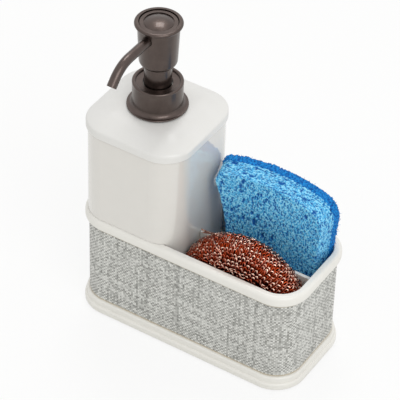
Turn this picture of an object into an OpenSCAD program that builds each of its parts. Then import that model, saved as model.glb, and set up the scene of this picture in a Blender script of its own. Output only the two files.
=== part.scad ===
// Soap pump caddy: a moulded tub with a woven wrap, a square soap bottle with a bronze
// lotion pump in its left bay, a scrub sponge in the rear bay and a copper scrubber in the front one.
// Millimetres, +Z up, X along the tub with the bottle at -X, front at -Y, table at z = 0.

/* [Caddy] */
// Length of the caddy, measured over the base
caddy_len = 160; // [154:1:176]
// Width of the caddy, measured over the base
caddy_wid = 76; // [74:1:82]
// Corner radius of the base outline
base_corner_r = 21; // [19:0.5:24]
// Height of the top face of the base above the table
base_top_z = 10.4; // [9:0.2:13]
// Height of the rim's top above the table
rim_top_z = 77.5; // [72:0.5:86]
// Height of the rolled rim
rim_h = 7.9; // [6:0.1:10]
// Wall thickness of the tub
tub_wall = 1.7; // [1.4:0.1:2.2]
// Floor thickness of the tub
tub_floor_t = 2; // [1.5:0.1:3]
// Width of the front bay, from the front wall to the divider
front_bay_w = 27.7; // [25:0.1:30]
// Thickness of the divider between the front and rear bays
divider_t = 2; // [1.4:0.1:2.6]
// How far the divider stays below the rim
divider_drop = 2.5; // [1:0.1:6]
// How far the face of the woven wrap lies inside the base outline
band_inset = 2.9; // [2:0.1:3.6]
// Thickness of the woven wrap
band_t = 1.2; // [0.8:0.1:1.6]

/* [Bottle] */
// How far the bottle's faces lie inside the base outline
bottle_inset = 2.5; // [2:0.1:3]
// Corner radius of the bottle above the rim
bottle_corner_r = 18.3; // [17:0.1:20]
// Wall thickness of the bottle
bottle_wall = 2; // [1.5:0.1:2.5]
// Height of the bottle body's top above the table
bottle_top_z = 142; // [130:1:150]
// Clearance between the bottle's foot and the tub
foot_gap = 0.5; // [0.3:0.1:0.8]
// How far the lid reaches out past the bottle's faces
lid_overhang = 1.2; // [1:0.1:2]
// Height of the lid from its lower edge to its crown
lid_h = 11.6; // [10.5:0.1:13]
// Radius of the arc that crowns the lid
crown_r = 33.6; // [32:0.2:44]
// Radius of the lid's rounded upper edge
lid_edge_r = 2.2; // [1.2:0.1:3]

/* [Neck] */
// Outer radius of the neck under its thread
neck_r = 12.45; // [12:0.05:12.8]
// Outer radius of the neck's thread
thread_r = 13.6; // [13.3:0.05:13.8]
// Bore radius of the neck
neck_bore_r = 10.7; // [10:0.1:11]
// Height of the neck above the lid's crown
neck_h = 13.4; // [12:0.1:15]
// Rise of the thread in one turn
thread_pitch = 4.2; // [3.6:0.1:4.4]

/* [Pump collar] */
// Outer radius of the collar's wall
collar_r = 15.6; // [15.4:0.1:16.6]
// Outer radius of the flare at the collar's foot
flare_r = 18.9; // [18:0.1:20.5]
// Height of the flare
flare_h = 3.8; // [2:0.1:4]
// Width of the rolled bead round the collar's top
bead_w = 2.3; // [1.8:0.1:2.8]
// Height that the bead stands above the recessed plate inside it
bead_h = 1.3; // [1:0.1:2.2]
// Outer radius of the tower that the head slides over
tower_r = 8.5; // [8:0.1:8.8]

/* [Pump head] */
// Distance that the head travels when it is pressed
stroke = 11.5; // [8:0.5:12]
// Outer radius of the head just above its rounded foot
head_low_r = 11.8; // [11.4:0.1:12.4]
// Outer radius of the head just under its lip
head_high_r = 12.9; // [12.8:0.1:13.6]
// Outer radius of the lip
lip_r = 14.7; // [14.4:0.1:16]
// Radius of the lip's bead
lip_bead_r = 1.3; // [1.1:0.1:1.7]
// Height of the head from its foot to the middle of the lip
head_h = 29.8; // [29:0.1:34]
// Radius of the domed button in the head's cap
dome_r = 8.8; // [7:0.1:9.5]
// Rise of the domed button
dome_h = 2; // [1:0.1:2.5]

/* [Spout] */
// Outer radius of the spout tube
spout_r = 3.05; // [2.6:0.05:3.2]
// Bore radius of the spout tube
spout_bore_r = 1.9; // [1.2:0.05:2]
// Distance from the pump axis to the start of the bend
spout_straight = 31; // [24:0.5:40]
// Radius of the bend, at the middle of the tube
spout_bend_r = 21; // [16:0.5:28]
// Angle through which the spout bends down, in degrees
spout_bend_angle = 46; // [30:1:70]
// Length of the straight end past the bend
spout_tail = 5; // [2:0.5:12]

/* [Sponge] */
// Height of the sponge as it stands
sponge_h = 114; // [104:1:118]
// Room at each side of the sponge, beside the lid and inside the tub
sponge_side_gap = 2.05; // [1.6:0.05:6]
// Corner radius of the sponge beside the bottle
sponge_left_r = 6.5; // [6:0.5:16]
// Corner radius of the sponge at the far end
sponge_right_r = 12.5; // [6:0.5:16]
// Radius of the arc across each end of the sponge
sponge_end_r = 145; // [70:1:160]
// Angle at which the side beside the bottle draws in from its corners, in degrees
sponge_left_angle = 20; // [0:1:24]
// Angle at which the far side draws in from its corners, in degrees
sponge_right_angle = 6; // [0:1:24]
// Slant of the sponge's top, high beside the bottle, in degrees
sponge_slant = 6; // [0:0.5:8]
// Radius to which the sponge is bowed, its ends forward
sponge_bow_r = 240; // [180:10:600]
// Thickness of the foam
foam_t = 14.5; // [10:0.1:15]
// Thickness of the scrubbing layer
pad_t = 5; // [3:0.1:6]
// Turn of the sponge about the vertical, in degrees
sponge_turn = 5; // [0:0.5:8]

/* [Copper scrubber] */
// Radius of the scrubber's round face
scrubber_r = 44; // [38:0.5:46]
// Roundness of the scrubber's edge, as a share of its thickness
scrubber_edge_share = 0.47; // [0.3:0.01:0.49]

/* [Hidden] */
$fn = 96;
// How far a cutting shape runs past what it cuts
overrun = 1;
// Softening of small moulded edges
soft_edge = 0.8;
// Clearance between a soft piece and the walls round it
soft_gap = 0.3;
// Clearance of a glued or pressed seat
seat_gap = 0.1;
// How far two shapes of one piece reach into each other
merge = 0.5;

// Base
foot_stand = 0.8;
foot_r = 5.5;
foot_t = 1.6;
foot_corner_inset = 16;
plinth_floor_t = 2;
plinth_gap = 0.15;
plinth_step_h = 5.2;
plinth_step_in = 1.3;
plinth_step_edge = 1.6;
plinth_top_edge = 1.3;
tub_z = foot_stand + plinth_floor_t;
tub_in_z = tub_z + tub_floor_t;

// Tub
tub_out_inset = band_inset + band_t;
tub_in_inset = tub_out_inset + tub_wall;
tub_in_x = caddy_len / 2 - tub_in_inset;
tub_in_y = caddy_wid / 2 - tub_in_inset;
tub_in_r = base_corner_r - tub_in_inset;
rim_inset = 0.6;
rim_edge = 2.6;
rim_z = rim_top_z - rim_h;
inner_wall_top_z = rim_top_z - divider_drop;
divider_front_y = front_bay_w - tub_in_y;
divider_back_y = divider_front_y + divider_t;

// Bottle
bottle_side = caddy_wid - 2 * bottle_inset;
foot_inset = tub_in_inset + foot_gap;
foot_side = caddy_wid - 2 * foot_inset;
foot_corner_r = base_corner_r - foot_inset;
bottle_x = (caddy_wid - caddy_len) / 2;
divider_x = bottle_x + bottle_side / 2 + foot_gap;
bottle_z = tub_in_z + soft_gap;
ledge_gap = 0.1;
ledge_z = rim_top_z + ledge_gap;

// Lid and neck
lid_side = bottle_side + 2 * lid_overhang;
lid_corner_r = bottle_corner_r + lid_overhang;
crown_z = bottle_top_z + lid_h;
lid_cavity_h = 6;
lid_plug_h = 3;
lid_plug_t = 1.6;
lid_plug_gap = 0.15;
lid_right_x = bottle_x + lid_side / 2;
neck_top_z = crown_z + neck_h;
thread_turns = 1.4;
thread_root_half = 1;
thread_crest_half = 0.4;
thread_sink = 0.2;
thread_start = 2.6;
thread_steps = 36;

// Seal and pump housing
gasket_t = 1;
flange_t = 1.4;
flange_inset = 0.15;
flange_r = neck_r - flange_inset;
flange_top_z = neck_top_z + gasket_t + flange_t;
cylinder_r = 7.6;
cylinder_wall = 1;
cylinder_bore_r = cylinder_r - cylinder_wall;
running_gap = 0.05;

// Collar
closure_skirt_gap = 0.25;
collar_lift = 0.7;
collar_z = crown_z + collar_lift;
shell_t = 0.6;
shell_fit = 0.1;
closure_r = collar_r - shell_t - shell_fit;
closure_bore_r = thread_r + closure_skirt_gap;
closure_top_t = 0.8;
closure_top_z = flange_top_z + seat_gap + closure_top_t;
plate_z = closure_top_z + shell_fit;
plate_top_z = plate_z + shell_t;
bead_top_z = plate_top_z + bead_h;
tower_gap = 0.3;
plate_hole_gap = 0.7;
flare_foot_t = 0.9;
flare_foot_edge = 0.4;

// Tower and stem
stem_r = 2.9;
stem_bore_r = 1.5;
stem_gap = 0.08;
head_clear = 0.7;
head_z = bead_top_z + stroke + head_clear;
tower_wall = 1.2;
tower_overlap = 3.5;
tower_top_z = head_z + tower_overlap;
tower_web_t = 2;
guide_wall = 1.3;
guide_h = 11;
plug_h = 8;

// Plunger
stop_t = 1.4;
stop_r = 4.2;
stop_gap = 0.3;
seal_h = 7;
seal_play = 0.2;
seal_lip_h = 1.6;
seal_waist = 0.9;
foot_stop_r = 5;
stop_z = flange_top_z - plug_h - stop_gap - stop_t;
seal_z = stop_z - seal_play - seal_h;
stem_z = seal_z - seal_play - stop_t;

// Valve end of the housing
spring_room = 29;
spring_seat_z = stem_z - spring_room;
chamber_r = 3;
chamber_h = 7;
seat_t = 2;
seat_hole_r = 1.6;
ball_r = 2.4;
ball_clear = 0.03;
keeper_r = 2;
keeper_t = 0.8;
keeper_drop = 1.2;
inlet_h = 10.5;
inlet_r = 4.4;
seat_z = spring_seat_z - chamber_h;
inlet_z = seat_z - seat_t - inlet_h;
tube_r = 2.6;
tube_wall = 0.9;
tube_fit = 0.05;
tube_floor_gap = 1.7;
ball_z = seat_z + sqrt(pow(ball_r, 2) - pow(seat_hole_r, 2)) + ball_clear;

// Return spring
spring_r = 4.3;
wire_r = 0.45;
spring_turns = 7;
spring_steps = 16;
wire_sides = 6;
spring_end_gap = 0.1;

// Head
foot_round = 4;
head_bore_gap = 0.2;
head_bore_r = tower_r + head_bore_gap;
head_skirt_h = 3.5;
head_wall = 1.2;
head_cavity_r = head_low_r - head_wall;
lip_z = head_z + head_h;
cap_t = 2;
cap_drop = 0.6;
cap_gap = 0.1;
cap_edge = 0.7;
cap_r = lip_r - 2 * lip_bead_r;
cap_top_z = lip_z + lip_bead_r - cap_drop;
cap_z = cap_top_z - cap_t;
groove_w = 0.5;
groove_d = 0.6;
core_h = 11;
core_gap = 0.1;
core_top_z = cap_z - seat_gap;
core_z = core_top_z - core_h;
spout_drop = 2;
spout_z = lip_z - lip_bead_r - spout_drop - spout_r;
spout_root = 3.6;
spout_fit = 0.05;
spout_hole_gap = 0.2;
tail_entry = 0.3;
tail_ease = 0.02;
stem_socket_gap = 0.05;
stem_drop = 1.83;
stem_top_z = spout_z - stem_drop;

// Sponge and scrubber
arc_steps = 8;
bow_steps = 6;
bond_gap = 0.05;
right_room_x = (lid_right_x + tub_in_x) / 2;
sponge_w = tub_in_x - lid_right_x - 2 * sponge_side_gap;
sponge_back = 2.1;
sponge_y = (divider_back_y + tub_in_y) / 2 + sponge_back;
sponge_z = tub_in_z + soft_gap;
sponge_mid_depth = (foam_t + pad_t) / 2;
lift_gap = 0.4;
scrubber_t = front_bay_w - 2 * soft_gap;
scrubber_z = tub_in_z + soft_gap + scrubber_r;

// Plan outline with round corners
module rounded_rect(len, wid, r) {
  square([len - 2 * r, wid], center = true);
  square([len, wid - 2 * r], center = true);
  for (sx = [-1, 1], sy = [-1, 1])
    translate([sx * (len / 2 - r), sy * (wid / 2 - r)]) circle(r);
}

module rounded_block(len, wid, r, z_low, z_high) {
  translate([0, 0, z_low]) linear_extrude(z_high - z_low) rounded_rect(len, wid, r);
}

// Block that follows the base outline at a given inset
module caddy_block(inset, z_low, z_high) {
  rounded_block(caddy_len - 2 * inset, caddy_wid - 2 * inset, base_corner_r - inset, z_low, z_high);
}

// Plain block that fills a swept edge
module middle_block(len, wid, z_low, z_high) {
  translate([-len / 2, -wid / 2, z_low]) cube([len, wid, z_high - z_low]);
}

// Carries a profile round a rounded rectangle: the profile's x runs outwards from the corner's centre
module rounded_sweep(len, wid, r) {
  for (side = [0 : 3]) {
    reach = (side % 2 == 0 ? len : wid) / 2 - r;
    run = (side % 2 == 0 ? wid : len) - 2 * r;
    rotate([0, 0, 90 * side]) translate([reach, run / 2, 0]) {
      rotate([90, 0, 0]) linear_extrude(run) children();
      rotate_extrude(angle = 90) children();
    }
  }
}

// Takes the sharp corner off a section: sx and sz point into the material
module corner_cut(x, z, sx, sz, r) {
  if (r > 0)
    difference() {
      translate([x + (sx > 0 ? -overrun : -r), z + (sz > 0 ? -overrun : -r)]) square(r + overrun);
      translate([x + sx * r, z + sz * r]) circle(r);
      translate([x + (sx > 0 ? r : -r - overrun), z + (sz > 0 ? -overrun : -r)])
        square([overrun, r + overrun]);
    }
}

// Rectangular section with its own radius at each corner
module section(x_in, x_out, z_low, z_high, out_low = 0, out_high = 0, in_low = 0, in_high = 0) {
  difference() {
    translate([x_in, z_low]) square([x_out - x_in, z_high - z_low]);
    corner_cut(x_out, z_low, -1, 1, out_low);
    corner_cut(x_out, z_high, -1, -1, out_high);
    corner_cut(x_in, z_low, 1, 1, in_low);
    corner_cut(x_in, z_high, 1, -1, in_high);
  }
}

// Hollow fillet that fills an inside corner of a section
module cove(x, z, sx, sz, r) {
  difference() {
    translate([x + (sx > 0 ? 0 : -r), z + (sz > 0 ? 0 : -r)]) square(r);
    translate([x + sx * r, z + sz * r]) circle(r);
  }
}

module tube(outer_r, inner_r, z_low, z_high) {
  translate([0, 0, z_low]) linear_extrude(z_high - z_low) difference() {
    circle(outer_r);
    circle(inner_r);
  }
}

module at_pump() {
  translate([bottle_x, 0, 0]) children();
}

// Base that the tub drops into, with a stepped outer edge
module base_plinth() {
  color("#dcdad4") difference() {
    union() {
      rounded_sweep(caddy_len, caddy_wid, base_corner_r)
        plinth_section();
      middle_block(caddy_len - 2 * base_corner_r, caddy_wid - 2 * base_corner_r, foot_stand, base_top_z);
    }
    caddy_block(tub_out_inset - plinth_gap, tub_z, base_top_z + overrun);
    feet_places() translate([0, 0, -overrun]) cylinder(r = foot_r + seat_gap, h = foot_t + overrun);
  }
}

module plinth_section() {
  section(0, base_corner_r, foot_stand, foot_stand + plinth_step_h, plinth_step_edge, plinth_step_edge);
  section(0, base_corner_r - plinth_step_in, foot_stand, base_top_z, 0, plinth_top_edge);
}

module feet_places() {
  children();
  for (sx = [-1, 1], sy = [-1, 1])
    translate([sx * (caddy_len / 2 - foot_corner_inset), sy * (caddy_wid / 2 - foot_corner_inset), 0])
      children();
}

// Non-slip pads let into the underside, one at each corner and one in the middle
module rubber_feet() {
  color("#3c3c3c") feet_places() rotate_extrude() section(0, foot_r, 0, foot_t, foot_stand / 2);
}

// Tub with its rolled rim and the divider that ends at the bottle's right face
module tub() {
  color("#dedcd6") difference() {
    union() {
      caddy_block(tub_out_inset, tub_z, rim_z + rim_edge);
      rounded_sweep(caddy_len - 2 * rim_inset, caddy_wid - 2 * rim_inset, base_corner_r - rim_inset)
        rim_section();
    }
    difference() {
      caddy_block(tub_in_inset, tub_in_z, rim_top_z + overrun);
      translate([divider_x, divider_front_y, tub_z])
        cube([caddy_len, divider_t, inner_wall_top_z - tub_z]);
    }
  }
}

module rim_section() {
  outer_r = base_corner_r - rim_inset;
  section(tub_in_r, outer_r, rim_z, rim_top_z, rim_edge, rim_edge, 0, soft_edge);
}

// Woven wrap held between the base and the rim
module woven_band() {
  color("#b8b8b2") difference() {
    caddy_block(band_inset, base_top_z, rim_z);
    caddy_block(tub_out_inset - seat_gap / 2, base_top_z - overrun, rim_z + overrun);
  }
}

// Square bottle, cut back below its ledge on the three sides that stand in the tub's walls
module bottle_body() {
  color("#d8d5cf") at_pump() difference() {
    bottle_block(0, bottle_z, bottle_top_z);
    below_ledge(bottle_z - overrun) difference() {
      square(caddy_wid, center = true);
      foot_plan(0);
    }
    below_ledge(bottle_z + bottle_wall) intersection() {
      bottle_plan(bottle_wall);
      foot_plan(bottle_wall);
    }
    bottle_block(bottle_wall, ledge_z + bottle_wall, bottle_top_z + overrun);
  }
}

module bottle_block(inset, z_low, z_high) {
  translate([0, 0, z_low]) linear_extrude(z_high - z_low) bottle_plan(inset);
}

module bottle_plan(inset) {
  rounded_rect(bottle_side - 2 * inset, bottle_side - 2 * inset, bottle_corner_r - inset);
}

// Plan of the bottle's foot, which runs on past the bottle's right face
module foot_plan(inset) {
  translate([bottle_side / 2, 0])
    rounded_rect(foot_side + bottle_side - 2 * inset, foot_side - 2 * inset, foot_corner_r - inset);
}

// Upright cut as high as the foot
module below_ledge(z_low) {
  translate([0, 0, z_low]) linear_extrude(ledge_z - bottle_z + overrun) children();
}

// Crowned shoulder with its overhanging edge, plug ring and threaded neck
module bottle_lid() {
  plug_inset = bottle_wall + lid_plug_gap;
  plug_side = bottle_side - 2 * plug_inset;
  plug_r = bottle_corner_r - plug_inset;
  cavity_side = plug_side - 2 * lid_plug_t;
  plug_low_z = bottle_top_z - lid_plug_h;
  color("#e2e2de") at_pump() {
    difference() {
      union() {
        rounded_sweep(lid_side, lid_side, lid_corner_r) lid_section();
        middle_block(lid_side - 2 * lid_corner_r, lid_side - 2 * lid_corner_r, bottle_top_z, crown_z);
        translate([0, 0, bottle_top_z]) cylinder(r = neck_r, h = neck_top_z - bottle_top_z);
        rounded_block(plug_side, plug_side, plug_r, plug_low_z, bottle_top_z + merge);
      }
      translate([0, 0, bottle_top_z]) cylinder(r = neck_bore_r, h = neck_top_z + overrun - bottle_top_z);
      rounded_block(cavity_side, cavity_side, plug_r - lid_plug_t, plug_low_z - overrun,
        bottle_top_z + lid_cavity_h);
    }
    neck_thread();
  }
}

// Half section of the lid: a crowning arc that runs into the rounded upper edge
module lid_section() {
  crown_centre_z = crown_z - crown_r;
  edge_x = lid_corner_r - lid_edge_r;
  edge_z = crown_centre_z + sqrt(pow(crown_r - lid_edge_r, 2) - pow(edge_x, 2));
  meet_x = edge_x * crown_r / (crown_r - lid_edge_r);
  intersection() {
    translate([0, crown_centre_z]) circle(crown_r, $fn = 4 * $fn);
    translate([0, bottle_top_z]) square([meet_x, lid_h]);
  }
  translate([edge_x, edge_z]) circle(lid_edge_r);
  section(0, lid_corner_r, bottle_top_z, edge_z, soft_edge);
}

// Points of one section of the thread at a given turn
function thread_ring(turn) = let(
    z = crown_z + thread_start + thread_pitch * turn,
    shape = [
      [neck_r - thread_sink, -thread_root_half], [thread_r, -thread_crest_half],
      [thread_r, thread_crest_half], [neck_r - thread_sink, thread_root_half]
    ]
  ) [for (p = shape) [p[0] * cos(360 * turn), p[0] * sin(360 * turn), z + p[1]]];

// Raised thread on the neck
module neck_thread() {
  steps = ceil(thread_turns * thread_steps);
  swept_tube([for (i = [0 : steps]) thread_ring(thread_turns * i / steps)]);
}

// Closed solid through a row of rings that all have the same number of points
module swept_tube(rings) {
  sides = len(rings[0]);
  last = (len(rings) - 1) * sides;
  skin = [for (i = [0 : len(rings) - 2], j = [0 : sides - 1], half = [0, 1])
    let(a = i * sides + j, b = i * sides + (j + 1) % sides)
      half == 0 ? [a, b, b + sides] : [a, b + sides, a + sides]];
  first_cap = [for (j = [1 : sides - 2]) [0, j + 1, j]];
  last_cap = [for (j = [1 : sides - 2]) [last, last + j, last + j + 1]];
  polyhedron(points = [for (ring = rings) each ring], faces = concat(skin, first_cap, last_cap));
}

// Washer between the neck and the housing's flange
module gasket() {
  color("#e8e4d8") at_pump() tube(flange_r, neck_bore_r, neck_top_z, neck_top_z + gasket_t);
}

// Pump cylinder hung in the neck by its flange, with the ball seat and the tube socket at its foot
module pump_housing() {
  color("#ece9e2") at_pump() rotate_extrude() difference() {
    union() {
      section(0, flange_r, neck_top_z + gasket_t, flange_top_z);
      section(0, cylinder_r, spring_seat_z - cylinder_wall, flange_top_z, cylinder_wall);
      section(0, inlet_r, inlet_z, spring_seat_z);
    }
    section(-overrun, cylinder_bore_r, spring_seat_z, flange_top_z + overrun);
    section(-overrun, chamber_r, seat_z, spring_seat_z - keeper_drop - keeper_t);
    section(-overrun, keeper_r, seat_z, spring_seat_z + overrun);
    section(-overrun, chamber_r, spring_seat_z - keeper_drop, spring_seat_z + overrun);
    section(-overrun, seat_hole_r, inlet_z - overrun, seat_z + overrun);
    section(-overrun, tube_r + tube_fit, inlet_z - overrun, inlet_z + inlet_h);
  }
}

// Suction tube down to the bottle's floor
module dip_tube() {
  tube_z = bottle_z + bottle_wall + tube_floor_gap;
  color("#e4e8ea") at_pump() tube(tube_r, tube_r - tube_wall, tube_z, inlet_z + inlet_h - seat_gap);
}

// Check ball on its seat
module inlet_ball() {
  color("#c8ccd0") at_pump() translate([0, 0, ball_z]) sphere(ball_r);
}

function spring_point(turn) = let(
    low_z = spring_seat_z + wire_r + spring_end_gap,
    high_z = stem_z - wire_r - spring_end_gap
  ) [spring_r * cos(360 * turn), spring_r * sin(360 * turn), low_z + (high_z - low_z) * turn / spring_turns];

function spring_ring(turn) = [for (j = [0 : wire_sides - 1]) let(
    a = 360 * j / wire_sides,
    p = spring_point(turn),
    reach = wire_r * cos(a)
  ) [p[0] + reach * cos(360 * turn), p[1] + reach * sin(360 * turn), p[2] + wire_r * sin(a)]];

// Coil that lifts the plunger back up
module return_spring() {
  steps = spring_turns * spring_steps;
  rise = spring_point(1)[2] - spring_point(0)[2];
  echo(str("return_spring least gap to itself: ", rise - 2 * wire_r));
  color("#b4b6b8") at_pump() swept_tube([for (i = [0 : steps]) spring_ring(i / spring_steps)]);
}

// Bronze tower in the collar: guides the stem, and its plug sits in the cylinder's mouth
module stem_guide() {
  color("#5a4e4a") at_pump() rotate_extrude() difference() {
    union() {
      section(0, tower_r, flange_top_z, tower_top_z, 0, soft_edge);
      section(0, cylinder_bore_r - running_gap, flange_top_z - plug_h, flange_top_z + tower_web_t);
    }
    section(-overrun, stem_r + stem_gap, flange_top_z - plug_h - overrun, tower_top_z + overrun);
    section(stem_r + stem_gap + guide_wall, tower_r - tower_wall,
      flange_top_z + tower_web_t, tower_top_z + overrun);
    section(-overrun, tower_r - tower_wall, flange_top_z + guide_h, tower_top_z + overrun);
  }
}

// Threaded cap that clamps the housing's flange onto the neck
module closure_ring() {
  color("#4a4442") at_pump() rotate_extrude() difference() {
    section(tower_r + tower_gap, closure_r, collar_z, closure_top_z, 0, soft_edge);
    section(0, closure_bore_r, collar_z - overrun, closure_top_z - closure_top_t);
  }
}

// Bronze cover of the closure, with its flare and rolled top bead
module collar_shell() {
  color("#5a4e4a") at_pump() rotate_extrude() {
    section(collar_r - shell_t, collar_r, collar_z, bead_top_z - bead_w / 2);
    section(collar_r - shell_t, flare_r, collar_z, collar_z + flare_foot_t, flare_foot_edge, flare_foot_edge);
    cove(collar_r, collar_z + flare_foot_t, 1, 1,
      min(flare_h - flare_foot_t, flare_r - flare_foot_edge - collar_r));
    section(tower_r + plate_hole_gap, collar_r - bead_w / 2, plate_z, plate_top_z);
    section(collar_r - bead_w, collar_r + shell_fit, plate_z, bead_top_z, soft_edge, bead_w / 2 - seat_gap,
      0, bead_w / 2 - seat_gap);
  }
}

// Seal that the stem carries down the cylinder
module piston_seal() {
  color("#d6d2c8") at_pump() rotate_extrude() {
    section(stem_r + running_gap, cylinder_bore_r - running_gap - seal_waist, seal_z, seal_z + seal_h);
    for (z = [seal_z, seal_z + seal_h - seal_lip_h])
      section(stem_r + running_gap, cylinder_bore_r - running_gap, z, z + seal_lip_h);
  }
}

// Hollow rod from the piston up into the head
module stem() {
  color("#ece9e2") at_pump() rotate_extrude() difference() {
    union() {
      section(0, stem_r, stem_z, stem_top_z);
      section(0, foot_stop_r, stem_z, stem_z + stop_t);
      section(0, stop_r, stop_z, stop_z + stop_t);
    }
    section(-overrun, stem_bore_r, stem_z - overrun, stem_top_z + overrun);
  }
}

// Insert that joins the stem's bore to the spout's
module head_core() {
  color("#3a3432") at_pump() difference() {
    translate([0, 0, core_z]) cylinder(r = head_cavity_r - core_gap, h = core_h);
    translate([0, 0, core_z - overrun])
      cylinder(r = stem_r + stem_socket_gap, h = stem_top_z + seat_gap - core_z + overrun);
    translate([0, 0, core_z]) cylinder(r = stem_bore_r, h = spout_z - core_z);
    translate([0, 0, spout_z]) rotate([90, 0, 0]) cylinder(r = stem_bore_r, h = spout_root + overrun);
    translate([0, -spout_root + seat_gap, spout_z]) rotate([90, 0, 0])
      cylinder(r = spout_r + spout_fit, h = head_cavity_r);
  }
}

// Bronze cup of the head, rounded in at its foot and rolled out into a lip
module head_shell() {
  lip_x = lip_r - lip_bead_r;
  lip_top_z = lip_z + lip_bead_r;
  color("#5a4e4a") at_pump() difference() {
    rotate_extrude() difference() {
      union() {
        polygon([
          [0, head_z + foot_round], [head_low_r, head_z + foot_round],
          [head_high_r, lip_z - lip_bead_r], [head_high_r, lip_z], [0, lip_z]
        ]);
        section(0, head_low_r, head_z, head_z + foot_round + merge, foot_round);
        translate([lip_x, lip_z]) circle(lip_bead_r);
        section(0, lip_x, lip_z - lip_bead_r, lip_top_z);
        cove(head_high_r, lip_z - lip_bead_r, 1, -1, lip_x - head_high_r);
      }
      section(-overrun, head_bore_r, head_z - overrun, lip_top_z + overrun);
      section(-overrun, head_cavity_r, head_z + head_skirt_h, lip_top_z + overrun);
      section(-overrun, cap_r, cap_z, lip_top_z + overrun);
    }
    translate([0, 0, spout_z]) rotate([90, 0, 0]) cylinder(r = spout_r + spout_hole_gap, h = lip_r);
  }
}

// Disc that closes the head, with a domed button inside a groove
module head_cap() {
  dome_base_z = cap_top_z - groove_d / 2;
  ball = (pow(dome_r, 2) + pow(dome_h, 2)) / (2 * dome_h);
  color("#625652") at_pump() rotate_extrude() {
    difference() {
      section(0, cap_r - cap_gap, cap_z, cap_top_z, 0, cap_edge);
      section(-overrun, dome_r + groove_w, cap_top_z - groove_d, cap_top_z + overrun);
    }
    intersection() {
      translate([0, dome_base_z + dome_h - ball]) circle(ball, $fn = 4 * $fn);
      section(0, dome_r, cap_top_z - groove_d - merge, cap_top_z + dome_h);
    }
  }
}

// Bent tube: straight out of the head, round the bend and on to its square-cut end
module spout() {
  color("#5a4e4a") at_pump() translate([0, 0, spout_z]) {
    translate([0, -spout_root, 0]) rotate([90, 0, 0])
      linear_extrude(spout_straight - spout_root) spout_ring();
    translate([0, -spout_straight, -spout_bend_r]) rotate([0, -90, 180])
      rotate_extrude(angle = spout_bend_angle) translate([spout_bend_r, 0]) spout_ring();
    translate([0, -spout_straight, -spout_bend_r]) rotate([spout_bend_angle, 0, 0])
      translate([0, tail_entry, spout_bend_r]) rotate([90, 0, 0])
        linear_extrude(spout_tail + tail_entry) spout_ring(tail_ease);
  }
}

// Section of the tube, thinner on both faces by a given ease
module spout_ring(ease = 0) {
  difference() {
    circle(spout_r - ease);
    circle(spout_bore_r + ease);
  }
}

// Half of one side of the sponge's outline, from its waist up over the corner to the middle of the top
function sponge_side(r, angle) = let(
    corner_x = sponge_w / 2 - r,
    arc_z = sponge_h / 2 - sponge_end_r,
    corner_z = arc_z + sqrt(pow(sponge_end_r - r, 2) - pow(corner_x, 2)),
    end_angle = asin(corner_x / (sponge_end_r - r)),
    start_x = corner_x + r * cos(angle),
    start_z = corner_z - r * sin(angle),
    waist = start_z * tan(angle) / 2
  ) concat(
    [for (i = [0 : arc_steps - 1]) let(share = i / arc_steps)
      [start_x - waist * (1 - pow(share, 2)), start_z * share]],
    [for (i = [0 : arc_steps]) let(a = -angle + (90 - end_angle + angle) * i / arc_steps)
      [corner_x + r * cos(a), corner_z + r * sin(a)]],
    [for (i = [1 : arc_steps - 1]) let(a = end_angle * (1 - i / arc_steps))
      [sponge_end_r * sin(a), arc_z + sponge_end_r * cos(a)]]
  );

// The same side's whole height: the lower half mirrors the upper one
function whole_side(half) = concat(
    [for (i = [len(half) - 1 : -1 : 1]) [half[i][0], -half[i][1]]],
    half
  );

// Puts a point of the flat sponge in its place: slanted at the top and bowed about an upright axis in front
function bowed(x, z, depth) = let(
    a = x / sponge_bow_r * 180 / PI,
    reach = sponge_bow_r + depth,
    height_share = 0.5 + z / sponge_h
  ) [reach * sin(a), reach * cos(a) - sponge_bow_r, z - x * tan(sponge_slant) * height_share];

// Point at a share of the way from the left side to the right one, both given as distance out and height
function across(left, right, share, depth) =
  bowed((right[0] + left[0]) * share - left[0], left[1] + (right[1] - left[1]) * share, depth);

// One level of a layer, round from the front's right end
function sponge_level(left, right, depth_low, depth_high) = let(
    shares = [for (j = [0 : bow_steps]) j / bow_steps]
  ) concat(
    [for (s = shares) across(left, right, 1 - s, depth_low)],
    [for (s = shares) across(left, right, s, depth_high)]
  );

// Layer of the sponge between two depths, held in by the tub's walls where it stands in the bay
module sponge_layer(depth_low, depth_high) {
  left = whole_side(sponge_side(sponge_left_r, sponge_left_angle));
  right = whole_side(sponge_side(sponge_right_r, sponge_right_angle));
  intersection() {
    translate([right_room_x, sponge_y, sponge_z + sponge_h / 2]) rotate([0, 0, sponge_turn])
      swept_tube([for (i = [0 : len(left) - 1]) sponge_level(left[i], right[i],
        depth_low - sponge_mid_depth, depth_high - sponge_mid_depth)]);
    union() {
      caddy_block(tub_in_inset + soft_gap, tub_in_z, rim_top_z + soft_gap);
      caddy_block(rim_inset, rim_top_z + soft_gap, rim_top_z + sponge_h);
    }
  }
}

module sponge_foam() {
  color("#5fa8dc") sponge_layer(0, foam_t);
}

// Abrasive layer bonded to the back of the foam
module scrub_pad() {
  color("#1670c4") sponge_layer(foam_t + bond_gap, foam_t + pad_t);
}

// Knitted copper scrubber, squeezed between the walls of the front bay
module copper_scrubber() {
  x_low = lid_right_x + lift_gap;
  edge_r = scrubber_edge_share * scrubber_t;
  color("#a8361c") intersection() {
    translate([right_room_x, divider_front_y - soft_gap - scrubber_t / 2, scrubber_z]) rotate([90, 0, 0])
      rotate_extrude() section(0, scrubber_r, -scrubber_t / 2, scrubber_t / 2, edge_r, edge_r);
    caddy_block(tub_in_inset + soft_gap, tub_in_z, scrubber_z + 2 * scrubber_r);
    translate([x_low, -caddy_wid / 2, tub_in_z]) cube([caddy_len, caddy_wid, 2 * scrubber_r + scrubber_z]);
  }
}

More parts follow.
